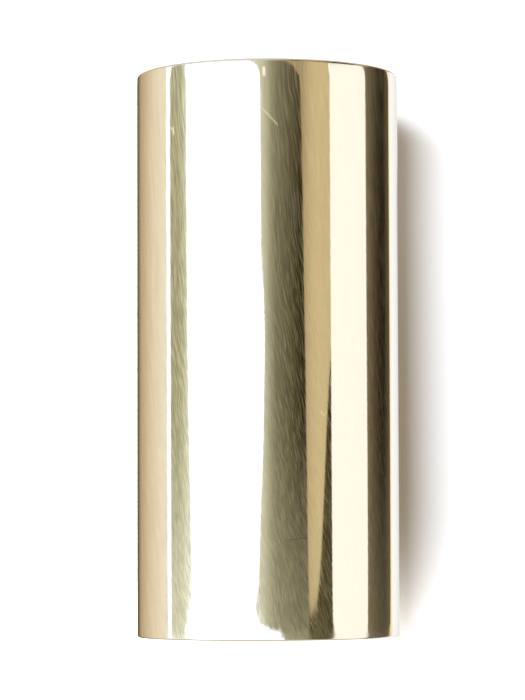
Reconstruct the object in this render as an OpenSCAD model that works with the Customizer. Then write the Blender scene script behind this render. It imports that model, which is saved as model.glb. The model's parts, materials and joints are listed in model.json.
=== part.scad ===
// Guitar slide: one length of heavy-walled brass tube, open at both ends.
// The axis of the bore is Z, and the origin is its centre at the lower end.

/* [Tube] */
// Length from end face to end face
length = 60; // [45:0.5:75]
// Outside diameter, which is the playing surface
outer_d = 28; // [22:0.5:32]
// Thickness of the wall
wall = 3; // [2:0.1:5]

/* [Edges] */
// Radius on the outside edge of each end
rim_r = 0.2; // [0.1:0.05:0.9]
// Radius on the mouth of the bore at each end
mouth_r = 0.8; // [0.3:0.05:1]

/* [Hidden] */
outer_r = outer_d / 2;
bore_r = outer_r - wall;
rim_x = outer_r - rim_r;    // where the rim's radius meets the flat end face
mouth_x = bore_r + mouth_r; // where the mouth's radius meets the flat end face
$fn = 180;

// A rectangle given by its lowest and highest corners.
module span(low, high) {
    translate(low)
        square(high - low);
}

// The circle that rounds one corner of the wall, at both ends of the tube.
module corner_circles(x, r) {
    for (z = [r, length - r])
        translate([x, z])
            circle(r = r);
}

// One side of the tube cut along its axis: a straight wall with four rounded corners.
module wall_section() {
    span([mouth_x, 0], [rim_x, length]);                // runs to both end faces
    span([bore_r, mouth_r], [rim_x, length - mouth_r]); // reaches in to the bore
    span([mouth_x, rim_r], [outer_r, length - rim_r]);  // reaches out to the playing surface
    corner_circles(mouth_x, mouth_r);
    corner_circles(rim_x, rim_r);
}

// The whole slide, turned from one piece.
module slide_tube() {
    color("#c9b27a")
        rotate_extrude()
            wall_section();
}

slide_tube();
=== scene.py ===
"""A polished brass guitar slide standing on end, lit like a product shot.

The tube is a mirror, so most of its look is the studio that it reflects. build_studio() makes that
studio as a world: a ring of bright and dark cards, seen only in reflections. brass() makes the metal.
"""
import json
import math
from collections import namedtuple

import bpy
import numpy as np
from mathutils import Matrix, Vector


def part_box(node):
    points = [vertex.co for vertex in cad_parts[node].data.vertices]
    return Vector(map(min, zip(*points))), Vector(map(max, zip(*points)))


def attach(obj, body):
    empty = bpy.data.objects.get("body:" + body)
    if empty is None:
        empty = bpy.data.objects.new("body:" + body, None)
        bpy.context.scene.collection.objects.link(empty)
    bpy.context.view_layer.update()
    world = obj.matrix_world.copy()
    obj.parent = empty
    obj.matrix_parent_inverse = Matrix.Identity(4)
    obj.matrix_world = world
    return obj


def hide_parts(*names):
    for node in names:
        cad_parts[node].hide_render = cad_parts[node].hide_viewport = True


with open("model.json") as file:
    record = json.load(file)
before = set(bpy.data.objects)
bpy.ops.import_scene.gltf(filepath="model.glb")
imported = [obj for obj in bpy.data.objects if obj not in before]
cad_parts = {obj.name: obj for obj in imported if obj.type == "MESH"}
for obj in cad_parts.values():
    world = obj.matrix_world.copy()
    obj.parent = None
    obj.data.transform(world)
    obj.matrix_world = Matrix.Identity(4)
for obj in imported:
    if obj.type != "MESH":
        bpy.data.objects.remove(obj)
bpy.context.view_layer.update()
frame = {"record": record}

MM = 0.001

# ---------------------------------------------------------------- sizes, from the frame


def mount(name):
    """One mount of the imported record."""
    return next(m for m in frame["record"]["mounts"] if m["name"] == name)


low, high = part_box("slide_tube")
LENGTH = high.z - low.z
OUTER_R = mount("outer_wall")["dims"]["r_mm"] * MM
BORE_R = mount("finger_bore")["dims"]["r_mm"] * MM
RIM_R = (LENGTH - mount("outer_wall")["dims"]["length_mm"] * MM) / 2
MOUTH_R = (LENGTH - mount("finger_bore")["dims"]["length_mm"] * MM) / 2
CENTRE = Vector((0, 0, low.z + LENGTH / 2))

# ---------------------------------------------------------------- shader helpers


class Graph:
    """Adds nodes to a shader tree, so that a formula reads as a chain of calls."""

    def __init__(self, tree):
        self.tree = tree
        tree.nodes.clear()

    def add(self, kind, inputs=None, **settings):
        node = self.tree.nodes.new(kind)
        for name, value in settings.items():
            setattr(node, name, value)
        for key, value in (inputs or {}).items():
            self.feed(node.inputs[key], value)
        return node

    def feed(self, socket, value):
        if isinstance(value, bpy.types.NodeSocket):
            self.tree.links.new(value, socket)
        else:
            socket.default_value = value

    def math(self, operation, *values):
        node = self.add("ShaderNodeMath", operation=operation)
        for socket, value in zip(node.inputs, values):
            self.feed(socket, value)
        return node.outputs[0]

    def times(self, first, *others):
        """The product of all the values."""
        product = first
        for value in others:
            product = self.math("MULTIPLY", product, value)
        return product

    def between(self, value, start, end, to_start=0.0, to_end=1.0, smooth=True):
        """value from start to end, as to_start to to_end, held beyond them."""
        kind = "SMOOTHSTEP" if smooth else "LINEAR"
        node = self.add("ShaderNodeMapRange", interpolation_type=kind)
        for socket, v in zip(node.inputs, (value, start, end, to_start, to_end)):
            self.feed(socket, v)
        return node.outputs[0]

    def mix(self, factor, a, b):
        """Colour a where the factor is 0, and colour b where it is 1."""
        node = self.add("ShaderNodeMix", data_type="RGBA")
        self.feed(node.inputs[0], factor)
        self.feed(node.inputs[6], as_colour(a))
        self.feed(node.inputs[7], as_colour(b))
        return node.outputs[2]

    def blend(self, factor, a, b):
        """Shader a where the factor is 0, and shader b where it is 1."""
        return self.add("ShaderNodeMixShader", {0: factor, 1: a, 2: b}).outputs[0]

    def curve(self, value, points):
        """A smooth curve through (value, result) points, held beyond the first and the last."""
        xs, ys = [p[0] for p in points], [p[1] for p in points]
        lowest, span = min(ys), max(max(ys) - min(ys), 1e-6)
        node = self.add("ShaderNodeFloatCurve")
        self.feed(node.inputs[1], self.between(value, xs[0], xs[-1], smooth=False))
        spots = node.mapping.curves[0].points
        while len(spots) < len(points):
            spots.new(0.5, 0.5)
        for spot, (x, y) in zip(spots, points):
            spot.location = ((x - xs[0]) / (xs[-1] - xs[0]), (y - lowest) / span)
            spot.handle_type = "AUTO_CLAMPED"
        node.mapping.update()
        return self.math("MULTIPLY_ADD", node.outputs[0], span, lowest)

    def ramp(self, value, stops):
        """A colour for each value, from (value, colour) stops. Colours may be brighter than 1."""
        if len(stops) == 1:
            return stops[0][1]
        start, end = stops[0][0], stops[-1][0]
        peak = max(max(colour) for _, colour in stops)
        node = self.add("ShaderNodeValToRGB")
        elements = node.color_ramp.elements
        while len(elements) < len(stops):
            elements.new(1.0)
        for element, (x, colour) in zip(elements, stops):
            element.position = (x - start) / (end - start)
            element.color = [c / peak for c in colour] + [1.0]
        self.feed(node.inputs[0], self.between(value, start, end, smooth=False))
        return self.scale(node.outputs[0], peak)

    def scale(self, vector, factor):
        """A colour or a vector, each part times the factor."""
        node = self.add("ShaderNodeVectorMath", operation="SCALE")
        self.feed(node.inputs[0], vector)
        self.feed(node.inputs["Scale"], factor)
        return node.outputs[0]

    def azimuth(self, x, y):
        """Degrees round Z, 0 towards the camera and 90 to its right."""
        return self.math("DEGREES", self.math("ARCTAN2", x, self.times(y, -1.0)))

    def noise(self, vector, detail=2.0):
        """Smooth noise from 0 to 1, about one bump per unit of the vector."""
        node = self.add("ShaderNodeTexNoise", {"Vector": vector, "Scale": 1.0, "Detail": detail})
        return node.outputs[0]

    def position(self):
        """x, y and z of the shaded point in the scene."""
        geometry = self.add("ShaderNodeNewGeometry").outputs
        return self.add("ShaderNodeSeparateXYZ", {0: geometry["Position"]}).outputs

    def vector(self, x, y, z):
        node = self.add("ShaderNodeCombineXYZ")
        for socket, value in zip(node.inputs, (x, y, z)):
            self.feed(socket, value)
        return node.outputs[0]


def as_colour(value):
    """A colour given as three numbers, with the alpha that a colour socket wants."""
    if isinstance(value, (tuple, list)) and len(value) == 3:
        return (*value, 1.0)
    return value


def linear(hex_colour):
    """The linear light of a display colour such as #c9b27a."""
    channels = [int(hex_colour[i:i + 2], 16) / 255 for i in (1, 3, 5)]
    return [c / 12.92 if c <= 0.04045 else ((c + 0.055) / 1.055) ** 2.4 for c in channels]


def new_material(name):
    """A new material and its empty graph."""
    material = bpy.data.materials.new(name)
    material.use_nodes = True
    return material, Graph(material.node_tree)


BRASS = (0.87, 0.74, 0.46)  # what polished brass reflects of red, green and blue


def light(look, azimuth):
    """The light that a card gives, for the look that the camera is to see in the brass: a display
    colour, the brightness of a white, or a colour and how many times brighter it is. Brass reflects
    more and paler light towards grazing angles."""
    if isinstance(look, (int, float)):
        look = ("#ffffff", look)
    colour, strength = look if isinstance(look, tuple) else (look, 1)
    seen = [c * strength for c in linear(colour)]
    graze = (1 - math.cos(math.radians(azimuth / 2))) ** 5
    return [c / (metal + (1 - metal) * graze) for c, metal in zip(seen, BRASS)]


# ---------------------------------------------------------------- the studio

# The studio is a ring of cards round the tube. Each card starts at its left edge and runs to the
# next card. An edge is an azimuth in degrees, 0 towards the camera and 90 to its right, or a curve
# of (elevation, azimuth) points. Softness is the width of the edge in degrees. Looks are given by
# azimuth. The pale stage lights some cards low down and high up, towards the look called stage_lit.
Card = namedtuple("Card", "name edge softness looks stage_lit")

CARDS = (
    Card("left_sheet", -180, 1,
         {-165: "#58482a", -158: "#89724d", -154: "#9a835e", -151: "#b39b77", -141: "#c0aa84",
          -121: "#e0cca8", -104: "#ebddc0"}, None),
    Card("left_strip", ((-2, -98.3), (0, -98.9), (4, -99.5), (9, -100)), 2.5, {-100: 1.25}, None),
    Card("left_gap", ((-2, -93.6), (0, -94), (4, -94.5), (8.5, -95), (9.5, -94.2), (10.6, -92.7),
                      (11.8, -90)), 1.5,
         {-94: "#aaa27c", -86: "#a6a17b", -80: "#bab690", -75: "#d6d3b6"}, ("#fffce0", 1.15)),
    Card("main_panel", ((-2.2, -77.2), (-1.72, -75.4), (-1.53, -72.8), (-1.35, -71.1), (-0.8, -70.5),
                        (0, -71.2), (2.8, -73.9), (4.4, -74.7), (6.6, -75.3), (8.1, -75.6),
                        (9.5, -77), (10.6, -77.2)), 2.2, {-40: 1.6}, None),
    Card("front_gap", ((-5, 13), (-3.2, 10), (-2.9, 7.8), (-2.5, 0), (-2, -5.5), (-1.8, -8),
                       (-1.65, -11), (-1.4, -11.2), (-1.15, -9), (-0.8, -8.2), (0.55, -6.5),
                       (1.3, -4.9), (2.8, -3.4), (3.6, -2.9), (4.4, -3.6), (5.1, -5.6), (6, -5.9),
                       (8.6, -6.4), (10.3, -8.5), (11.6, -15)), 1.5,
         {-6: "#cbc7a9", -2: "#b8b395", 3: "#918a6c", 7: "#756f52", 16: "#5c553b", 23: "#483f27",
          28: "#30290f", 35: "#393117"}, "#b6af8b"),
    Card("gold_card", ((-1.74, 38.5), (-1.66, 36.9), (-1.54, 35.9), (-1.35, 35.2), (-0.8, 34.6),
                       (1.3, 33.5), (2.8, 32.9), (4.4, 31.8), (6.6, 30.6), (8.14, 29.2), (9, 27),
                       (10.1, 24.2), (11.1, 19.8), (11.6, 14)), 1,
         {31: "#a48f64", 35: "#b8a275", 39: "#c5ae7d", 45: "#ccb484", 57: "#c6b180"}, None),
    Card("dark_sliver", ((-1.74, 35), (-1.66, 36.4), (-1.52, 39.6), (-1.35, 42.4), (-0.8, 45.2),
                         (-0.2, 47.2), (1.3, 50.7), (2.1, 52.5), (2.8, 54.6), (3.6, 57), (8.5, 58)), 1,
         {35: "#443d23", 59: "#382d13"}, "#5f5638"),
    Card("cream_panel", ((-2.2, 58.6), (-1.4, 57.3), (0, 57), (4.5, 56.6), (7, 56.4), (8.5, 56.5),
                         (9.5, 55.9), (10.6, 55.3)), 1,
         {57: ("#fff7e4", 1.05), 97: ("#fff6e2", 1.05)}, None),
    Card("right_gap", ((-2.2, 96), (-1.2, 96.5), (0.5, 96.7), (4.4, 96.4), (8.5, 96.2), (9.5, 95.9),
                       (10.6, 93.2), (11.6, 87)), 1.2,
         {96: "#796a4f", 101: "#62553d", 107: "#4a3e29", 113: "#322818", 120: "#1d1508"}, "#7c7056"),
    Card("right_flag", 124.5, 1.5, {126: "#3d321c", 134: "#5f5036"}, "#7c7056"),
    Card("right_sheet", ((-2.2, 132), (-1.5, 134), (-0.5, 134.7), (3, 135.2), (8.4, 135.3),
                         (9.5, 133), (10.6, 131)), 1.2,
         {135: "#f4d9a2", 138: "#fdf6e4", 141: "#fffcf2", 150: "#faf6ec", 160: "#ece8dd"}, None),
    Card("sheet_shadow", ((-1.8, 190), (-1.2, 171), (0, 168), (6, 168), (7.5, 190)), 16,
         {180: "#7d7263"}, None),
)
# How far the stage lights those cards, by elevation.
STAGE_LIGHT = ((-30, 0.6), (-12, 0.5), (-4.5, 0.6), (-3, 0.42), (-2, 0.36), (-1.2, 0.31), (-0.6, 0.24),
               (0.6, 0.12), (3, 0), (6, 0), (7.7, 0.04), (9, 0.06))
STAGE_AZIMUTH = 45  # the azimuth at which its light on them is worked out

# The left edge of the card right_flag is frayed: by how many degrees each way, and its fibres to the
# degree, up and round.
FRAYING = 5.0
FIBRES_UP, FIBRES_ROUND = 9.0, 0.8

# Above the cards is a dim ceiling. Its lower edge is given as (azimuth, elevation) points.
CEILING_EDGE = ((-180, 13), (25, 12.5), (52, 11.6), (60, 11.2), (78, 11.2), (92, 12.5), (180, 13))
CEILING_LOOKS = {-180: "#b89a6c", -120: "#c8b48c", -95: 0.55, -60: 0.8, -25: 0.75, 8: "#a8a58c",
                 26: "#5a503c", 34: "#96825f", 52: "#8a7755", 60: "#3c321e", 80: "#4a3c26",
                 95: "#c8b4a0", 105: "#7a5f48", 130: "#8c6e55", 180: 0.5}
OVERHEAD = (0.75, 0.74, 0.70)  # the ceiling from steeply above
GROUND = (0.62, 0.58, 0.52)  # steeply below the tube

BACKDROP = 1.2  # the white that the camera sees past the stage
EVEN_COLOUR, EVEN_LIGHT = (1.0, 0.81, 0.58), 0.34  # what lights the floor and the sheet from all sides


def ring_of_cards(g, azimuth, elevation):
    """The cards' light in each direction. Each card covers those before it, from its left edge on."""
    stage_light = g.curve(elevation, STAGE_LIGHT)
    fibres = g.noise(g.vector(g.times(elevation, FIBRES_UP), g.times(azimuth, FIBRES_ROUND), 0.0), 2)
    fraying = g.between(fibres, 0.3, 0.7, -FRAYING, FRAYING, smooth=False)
    ring = (0, 0, 0)
    for card in CARDS:
        start = card.edge if isinstance(card.edge, (int, float)) else g.curve(elevation, card.edge)
        past_edge = g.math("SUBTRACT", azimuth, start)
        if card.name == "right_flag":
            past_edge = g.math("ADD", past_edge, fraying)
        mask = g.between(past_edge, -card.softness / 2, card.softness / 2)
        look = g.ramp(azimuth, [(a, light(c, a)) for a, c in card.looks.items()])
        if card.stage_lit:
            look = g.mix(stage_light, look, light(card.stage_lit, STAGE_AZIMUTH))
        ring = g.mix(mask, ring, look)
    return ring


def over_and_under(g, ring, azimuth, elevation):
    """The ring with the ceiling over it, paler straight overhead, and the warm ground far below."""
    above = g.math("SUBTRACT", elevation, g.curve(azimuth, CEILING_EDGE))
    ceiling = g.ramp(azimuth, [(a, light(c, a)) for a, c in CEILING_LOOKS.items()])
    ceiling = g.mix(g.between(elevation, 20, 60), ceiling, OVERHEAD)
    room = g.mix(g.between(above, -0.4, 0.4), ring, ceiling)
    return g.mix(g.between(elevation, -30, -45), room, GROUND)


def build_studio():
    """The world: white for the camera, even light on the stage, and the studio's ring of cards in
    anything shiny."""
    world = bpy.data.worlds.new("studio")
    bpy.context.scene.world = world
    world.use_nodes = True
    world.cycles.sampling_method = "NONE"
    g = Graph(world.node_tree)
    direction = g.add("ShaderNodeTexCoord").outputs["Generated"]
    x, y, z = g.add("ShaderNodeSeparateXYZ", {0: direction}).outputs
    azimuth = g.azimuth(x, y)
    elevation = g.math("DEGREES", g.math("ARCSINE", z))
    studio = over_and_under(g, ring_of_cards(g, azimuth, elevation), azimuth, elevation)

    shiny = g.add("ShaderNodeBackground", {0: studio, 1: 1.0})
    white = g.add("ShaderNodeBackground", {0: (1, 1, 1, 1), 1: BACKDROP})
    even = g.add("ShaderNodeBackground", {0: as_colour(EVEN_COLOUR), 1: EVEN_LIGHT})
    path = g.add("ShaderNodeLightPath").outputs
    # A ray that has met something matt no longer counts, so the studio doesn't light the stage.
    no_matt_yet = g.math("LESS_THAN", path["Diffuse Depth"], 0.5)
    in_tube = g.times(path["Is Glossy Ray"], no_matt_yet)
    lit = g.blend(in_tube, even.outputs[0], shiny.outputs[0])
    g.add("ShaderNodeOutputWorld", {0: g.blend(path["Is Camera Ray"], lit, white.outputs[0])})


# ---------------------------------------------------------------- the stage

FLOOR_GLOW = 0.6  # painted glow, added where the floor is seen edge-on
SHEET_GLOW, SHEET_GLOW_HEIGHT = 0.75, 18 * MM  # painted glow along the sheet's foot, fading upwards, standing in for light bounced from the floor
CARD_DARKNESS = 0.25  # how much darker than white the grey card is


def plane(name, corners, material):
    """One flat piece of the stage, which the camera sees and the tube doesn't reflect."""
    mesh = bpy.data.meshes.new(name)
    mesh.from_pydata(corners, [], [(0, 1, 2, 3)])
    mesh.materials.append(material)
    thing = bpy.data.objects.new(name, mesh)
    bpy.context.scene.collection.objects.link(thing)
    thing.visible_glossy = False
    thing.visible_diffuse = False
    thing.visible_shadow = False


def matt_white(g):
    """A plain white surface."""
    return g.add("ShaderNodeBsdfDiffuse", {"Color": (0.9, 0.9, 0.9, 1.0)}).outputs[0]


def glowing(g, surface, strength):
    """The surface with a white glow added."""
    glow = g.add("ShaderNodeEmission", {"Strength": strength})
    return g.add("ShaderNodeAddShader", {0: surface, 1: glow.outputs[0]}).outputs[0]


def clear_from_behind(g, surface):
    """The surface on the front of a plane, and nothing on its back."""
    clear = g.add("ShaderNodeBsdfTransparent").outputs[0]
    return g.blend(g.add("ShaderNodeNewGeometry").outputs["Backfacing"], surface, clear)


def floor_paper():
    """White paper with a painted glow where it is seen almost edge-on."""
    material, g = new_material("floor_paper")
    glancing = g.add("ShaderNodeLayerWeight", {"Blend": 0.5}).outputs["Facing"]
    # painted light: a white glow is added where the floor is seen almost edge-on
    surface = glowing(g, matt_white(g), g.between(glancing, 0.6, 1.0, 0.0, FLOOR_GLOW))
    g.add("ShaderNodeOutputMaterial", {0: surface})
    return material


def sheet_paper():
    """White paper with a painted glow along its foot, standing in for light from the floor, that can't be
    seen from behind.
    """
    material, g = new_material("sheet_paper")
    z = g.position()[2]
    nearness = g.between(z, SHEET_GLOW_HEIGHT, 0.0, smooth=False)
    # painted light: a white glow added near the foot stands in for the floor's bounced light
    surface = glowing(g, matt_white(g), g.times(g.math("POWER", nearness, 3.0), SHEET_GLOW))
    g.add("ShaderNodeOutputMaterial", {0: clear_from_behind(g, surface)})
    return material


def grey_card_paper():
    """A plain pale grey glow that turns white towards the card's foot and towards the sheet."""
    material, g = new_material("grey_card_paper")
    _, y, z = g.position()
    from_foot = g.between(z, 0.0, 12 * MM)
    from_sheet = g.between(y, OUTER_R, -8 * MM)
    brightness = g.math("MULTIPLY_ADD", g.times(from_foot, from_sheet), -CARD_DARKNESS, 1.0)
    card = g.add("ShaderNodeEmission", {"Strength": brightness}).outputs[0]
    g.add("ShaderNodeOutputMaterial", {0: clear_from_behind(g, card)})
    return material


def build_stage():
    """A pale floor under the tube, a pale sheet that stands just behind it, and out of the camera's
    sight at the left a grey card, which sets off the tube's white side when it is seen from the right."""
    far, wide, left, front = 3.0, 1.0, -80 * MM, -0.3
    back = OUTER_R + 0.02 * MM
    floor = [(-far, -far, low.z), (far, -far, low.z), (far, far, low.z), (-far, far, low.z)]
    sheet = [(-wide, back, -wide), (wide, back, -wide), (wide, back, wide), (-wide, back, wide)]
    card = [(left, front, low.z), (left, back, low.z), (left, back, wide), (left, front, wide)]
    plane("floor", floor, floor_paper())
    plane("sheet", sheet, sheet_paper())
    plane("grey_card", card, grey_card_paper())


# Each softbox: its name, degrees above level, width and height in metres, and watts.
SOFTBOXES = (("front_softbox", 17, 1.15, 0.9, 120), ("overhead_softbox", 80, 1.5, 1.5, 55))
DAYLIGHT = (0.95, 1.0, 1.08)


def build_softboxes():
    """A softbox above and a little to the left of the camera, and one overhead for the floor. They
    light the stage and can't be seen in the tube."""
    distance = 3.0
    left = math.radians(16.5)
    for name, rise, width, height, watts in SOFTBOXES:
        lamp_data = bpy.data.lights.new(name, "AREA")
        lamp_data.shape, lamp_data.size, lamp_data.size_y = "RECTANGLE", width, height
        lamp_data.color = DAYLIGHT
        lamp_data.energy = watts
        lamp = bpy.data.objects.new(name, lamp_data)
        bpy.context.scene.collection.objects.link(lamp)
        out, up = math.cos(math.radians(rise)), math.sin(math.radians(rise))
        lamp.location = CENTRE + distance * Vector((-math.sin(left) * out, -math.cos(left) * out, up))
        lamp.rotation_euler = (CENTRE - lamp.location).to_track_quat("-Z", "Y").to_euler()
        lamp.visible_glossy = False
        lamp.visible_camera = False


# ---------------------------------------------------------------- the tube's shape

SEGMENTS = 512  # round the tube


def arc(radius, height, r, start, end, steps):
    """Points on a quarter circle about (radius, height), angles in degrees from straight out."""
    angles = [math.radians(start + (end - start) * i / steps) for i in range(steps + 1)]
    return [(radius + r * math.cos(a), height + r * math.sin(a)) for a in angles]


def profile():
    """The wall's outline, as (radius, height) points from the middle of the outside, up over the
    top end, down the bore, and back round the lower end."""
    buffed, drop = 1.6 * MM, 0.02 * MM  # polishing has rolled the last of the outside inwards
    wall_steps, roll_steps, rim_steps = 12, 16, 10
    face_steps, mouth_steps, bore_steps = 12, 10, 8
    half = LENGTH / 2
    points = [(OUTER_R, z) for z in np.linspace(0, half - RIM_R - buffed, wall_steps, endpoint=False)]
    for t in np.linspace(0, 1, roll_steps, endpoint=False):
        points.append((OUTER_R - drop * t ** 2, half - RIM_R - buffed * (1 - t)))
    slope = math.degrees(math.atan(2 * drop / buffed))
    rim_x = OUTER_R - drop - RIM_R * math.cos(math.radians(slope))
    points += arc(rim_x, half - RIM_R, RIM_R, slope, 90, rim_steps)
    face_in, face_out = BORE_R + MOUTH_R, rim_x
    points += [(x, half) for x in np.linspace(face_out, face_in, face_steps)[1:-1]]
    points += arc(face_in, half - MOUTH_R, -MOUTH_R, -90, 0, mouth_steps)
    points += [(BORE_R, z) for z in np.linspace(half - MOUTH_R, 0, bore_steps)[1:]]
    mirrored = [(r, -z) for r, z in points[-2:0:-1]]
    return [(r, z + CENTRE.z) for r, z in points + mirrored]


def lathe(name, outline, segments):
    """A closed ring of quads swept round Z."""
    turns = np.linspace(0, 2 * math.pi, segments, endpoint=False)
    rows = len(outline)
    verts = [(r * math.cos(a), r * math.sin(a), z) for a in turns for r, z in outline]
    faces = []
    for i in range(segments):
        j = (i + 1) % segments
        for k in range(rows):
            m = (k + 1) % rows
            faces.append((i * rows + k, j * rows + k, j * rows + m, i * rows + m))
    mesh = bpy.data.meshes.new(name)
    mesh.from_pydata(verts, [], faces)
    mesh.polygons.foreach_set("use_smooth", [True] * len(faces))
    mesh.update()
    thing = bpy.data.objects.new(name, mesh)
    bpy.context.scene.collection.objects.link(thing)
    return thing


# ---------------------------------------------------------------- the metal

# Single scratches on the outside: azimuth in degrees from the camera's side, height in mm, length
# in mm, lean in degrees from upright (positive leans to the right going down), width in mm, and
# paleness, which is negative for a dark mark.
Scratch = namedtuple("Scratch", "azimuth height length lean width paleness")
SCRATCHES = (
    Scratch(1.2, 53.9, 2.8, 43, 0.35, 0.25),
    Scratch(-1.3, 58.6, 1.2, 2, 0.5, 0.7),
    Scratch(-44.4, 53.0, 1.1, 8, 0.3, 0.7),
    Scratch(-46.0, 53.3, 0.8, 50, 0.25, 0.5),
    Scratch(23.5, 23.3, 0.7, 35, 0.25, 0.3),
    Scratch(25.0, 23.3, 0.7, -40, 0.25, 0.2),
    Scratch(12, 10.4, 2.6, 97, 0.2, -0.3),
    Scratch(150, 38, 4, 30, 0.15, 0.3),
    Scratch(-120, 14, 3, -25, 0.15, 0.3),
    Scratch(95, 48, 2.5, 60, 0.12, 0.3),
)

# How rough each surface is. Pairs run from its smoothest parts to its roughest.
MIRROR_ROUGHNESS = (0.03, 0.07)
WORN_ROUGHNESS = 0.07  # added near the lower end
RIM_ROUGHNESS = 0.14
TURNED_ROUGHNESS = (0.18, 0.3)
SATIN_ROUGHNESS = (0.3, 0.42)

RIM_BRASS = (0.88, 0.78, 0.55)

# The hairlines run along spirals that lean by so many mm round the tube to the mm of height at the
# lower end, and by less at the top. They wander by so many mm, in so many bends to the mm.
LEAN, LEAN_LOSS = 0.28, 0.1
WANDER, BENDS = 1.6, 0.12
LINES_MIDDLE, MIDDLE_TONE = 0.525, 0.985  # the middle of the hairlines' noise, and the tone it gives

# How deep each texture is, in mm.
TURNED_DEPTH, DRAWN_DEPTH, HAIRLINE_DEPTH, WEAR_DEPTH = 0.004, 0.006, 0.0004, 0.009


def scratch_mask(g, azimuth, height, scratch):
    """1 on the scratch and 0 off it, fading along its ends."""
    mm_per_degree = math.radians(OUTER_R / MM)
    around = g.times(g.math("SUBTRACT", azimuth, scratch.azimuth), mm_per_degree)
    down = g.math("SUBTRACT", scratch.height, height)
    c, s = math.cos(math.radians(scratch.lean)), math.sin(math.radians(scratch.lean))
    along = g.math("ADD", g.times(down, c), g.times(around, s))
    across = g.math("SUBTRACT", g.times(around, c), g.times(down, s))
    half = scratch.length / 2
    on_length = g.between(g.math("ABSOLUTE", along), half, half * 0.6)
    on_width = g.between(g.math("ABSOLUTE", across), scratch.width / 2, 0.0)
    return g.times(on_length, on_width)


def scratches(g, azimuth, height):
    """How pale and how dark the single scratches make each point."""
    pale, dark = 0.0, 0.0
    for scratch in SCRATCHES:
        mark = g.times(scratch_mask(g, azimuth, height, scratch), abs(scratch.paleness))
        if scratch.paleness > 0:
            pale = g.math("MAXIMUM", pale, mark)
        else:
            dark = g.math("MAXIMUM", dark, mark)
    return pale, dark


def hairlines(g, x, y, z):
    """Polishing hairlines, as noises in fine and in broad threads, stretched along spirals that run
    round the tube more steeply near its top."""
    lean = g.math("MULTIPLY_ADD", z, -LEAN_LOSS / (LENGTH / MM), LEAN)
    wander = g.noise(g.vector(*[g.times(part, BENDS) for part in (x, y, z)]), 1)
    shift = g.math("ADD", g.times(z, lean), g.times(wander, WANDER))
    spin = g.add("ShaderNodeVectorRotate", rotation_type="Z_AXIS")
    g.feed(spin.inputs["Vector"], g.vector(x, y, 0.0))
    g.feed(spin.inputs["Angle"], g.math("DIVIDE", shift, OUTER_R / MM))
    u, v, _ = g.add("ShaderNodeSeparateXYZ", {0: spin.outputs[0]}).outputs
    along = g.times(z, g.math("MULTIPLY_ADD", z, -0.0045, 0.8))  # longer threads towards the top

    def threads(across, lengthwise):
        """Noise with so many threads to the millimetre across and lengthwise."""
        return g.noise(g.vector(g.times(u, across), g.times(v, across), g.times(along, lengthwise)), 1)

    fine, long, broad = threads(14, 1.3), threads(8, 0.9), threads(1.5, 0.4)
    return g.math("ADD", g.times(fine, 0.5), g.times(long, 0.5)), broad


def zones(g, radius):
    """1 on the end faces, on the rims and in the bore, and 0 elsewhere."""
    normal = g.add("ShaderNodeNewGeometry").outputs["True Normal"]
    tilt = g.math("ABSOLUTE", g.add("ShaderNodeSeparateXYZ", {0: normal}).outputs[2])
    in_bore = g.between(radius, BORE_R / MM + 0.35, BORE_R / MM + 0.1)
    return g.between(tilt, 0.5, 0.95), g.between(tilt, 0.06, 0.3), in_bore


def turning_rings(g, radius):
    """Noise in rings round the axis, as a lathe leaves on an end face."""
    rings = g.add("ShaderNodeTexNoise", {"Scale": 1.0, "Detail": 3.0}, noise_dimensions="1D")
    g.feed(rings.inputs["W"], g.times(radius, 9.0))
    return rings.outputs[0]


def strip(g, azimuth, centre, inner, outer, on_it, elsewhere=0.0):
    """on_it within inner degrees of the centre, and elsewhere from outer degrees on."""
    away = g.math("ABSOLUTE", g.math("SUBTRACT", azimuth, centre))
    return g.between(away, inner, outer, on_it, elsewhere)


def metal_tone(g, azimuth, z, lines, broad):
    """The metal's brightness. A strip at the left has the strongest hairlines, most of all near its top;
    the hairlines are real, but their extra strength in that strip is painted light, standing in for
    the light that they catch from the bright panel. The side at the far left is faintly mottled."""
    strongest = g.between(z, 10, 50, 1.15, 1.9)
    # painted light: hairline contrast raised in this strip stands in for the bright panel's light they
    # catch
    contrast = strip(g, azimuth, -38, 9, 13.5, strongest, 0.15)
    mottling = strip(g, azimuth, -75, 18, 27, 0.18)
    tone = g.math("MULTIPLY_ADD", g.math("SUBTRACT", lines, LINES_MIDDLE), contrast, MIDDLE_TONE)
    tone = g.math("MULTIPLY_ADD", broad, 0.03, tone)
    return g.math("MULTIPLY_ADD", g.math("SUBTRACT", broad, 0.5), mottling, tone)


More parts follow.
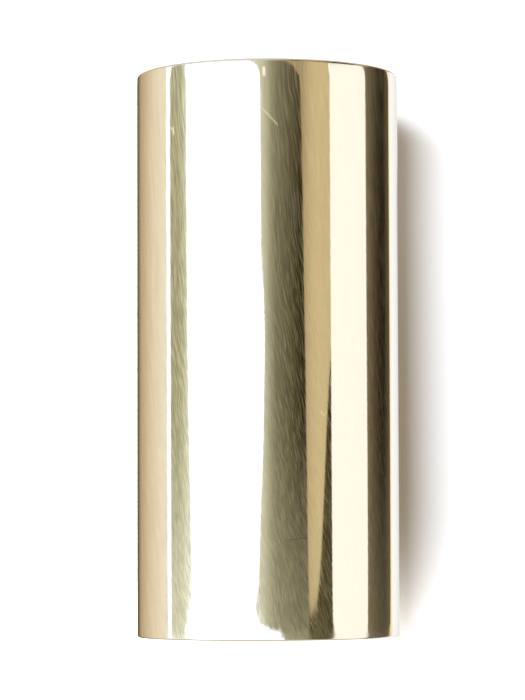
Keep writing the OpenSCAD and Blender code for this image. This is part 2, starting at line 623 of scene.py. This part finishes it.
def brass():
    """Mirror-polished outside with hairlines, finely turned end faces and a satin bore."""
    material, g = new_material("polished_brass")
    place = g.scale(g.add("ShaderNodeTexCoord").outputs["Object"], 1 / MM)
    x, y, z = g.add("ShaderNodeSeparateXYZ", {0: place}).outputs
    radius = g.math("SQRT", g.math("ADD", g.times(x, x), g.times(y, y)))
    azimuth = g.azimuth(x, y)

    on_end, on_rim, in_bore = zones(g, radius)
    worn = g.times(g.between(z, 1.7, 0.3), g.math("SUBTRACT", 1.0, on_end))
    lines, broad = hairlines(g, x, y, z)
    haze = g.between(lines, 0.4, 0.68)
    pale, dark = scratches(g, azimuth, z)
    turned = turning_rings(g, radius)
    drawn = g.noise(g.vector(g.times(x, 5.0), g.times(y, 5.0), g.times(z, 0.2)))

    roughness = g.between(haze, 0, 1, *MIRROR_ROUGHNESS, smooth=False)
    roughness = g.math("MULTIPLY_ADD", worn, WORN_ROUGHNESS, roughness)
    roughness = g.between(on_rim, 0, 1, roughness, RIM_ROUGHNESS)
    roughness = g.between(on_end, 0, 1, roughness, g.between(turned, 0.3, 0.7, *TURNED_ROUGHNESS))
    roughness = g.between(in_bore, 0, 1, roughness, g.between(drawn, 0.3, 0.7, *SATIN_ROUGHNESS))

    tone = metal_tone(g, azimuth, z, lines, broad)
    colour = g.scale(BRASS, g.math("SUBTRACT", tone, dark))
    colour = g.mix(on_rim, colour, RIM_BRASS)

    wear = g.noise(g.vector(*[g.times(part, 0.9) for part in (x, y, z)]), 3)
    height = g.times(turned, on_end, TURNED_DEPTH)
    height = g.math("ADD", height, g.times(lines, HAIRLINE_DEPTH))
    height = g.math("ADD", height, g.times(drawn, in_bore, DRAWN_DEPTH))
    height = g.math("ADD", height, g.times(wear, worn, WEAR_DEPTH))
    bump = g.add("ShaderNodeBump", {"Strength": 1.0, "Distance": MM, "Height": height})

    # Hairlines scatter a little light in all directions, as something matt does.
    metallic = g.math("SUBTRACT", g.between(haze, 0, 1, 1.0, 0.92, smooth=False), pale)
    metal = g.add("ShaderNodeBsdfPrincipled", {"Base Color": colour, "Metallic": metallic,
                                               "Roughness": roughness, "Normal": bump.outputs[0]})
    g.add("ShaderNodeOutputMaterial", {0: metal.outputs[0]})
    return material


# ---------------------------------------------------------------- the camera


def build_camera():
    """The camera of the product shot: level with the lower part of the tube and looking up a little."""
    camera = bpy.data.cameras.new("camera")
    camera.sensor_width, camera.lens = 36.0, 155.0
    camera.shift_x, camera.shift_y = -0.00775, 0.00818
    camera.clip_start, camera.clip_end = 0.01, 100
    thing = bpy.data.objects.new("camera", camera)
    bpy.context.scene.collection.objects.link(thing)
    bpy.context.scene.camera = thing
    elevation, roll = math.radians(-3.3), math.radians(-0.185)
    distance = 23.1 * OUTER_R
    back = Vector((0, -math.cos(elevation), math.sin(elevation)))
    thing.location = CENTRE + back * distance
    turn = (-back).to_track_quat("-Z", "Y").to_matrix() @ Matrix.Rotation(roll, 3, "Z")
    thing.rotation_euler = turn.to_euler()


# ---------------------------------------------------------------- the scene

view = bpy.context.scene.view_settings
view.view_transform, view.look, view.exposure, view.gamma = "Standard", "None", 0.0, 1.0

build_studio()
build_stage()
build_softboxes()
build_camera()

slide = lathe("polished_tube", profile(), SEGMENTS)
slide.data.materials.append(brass())
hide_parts("slide_tube")
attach(slide, "root")
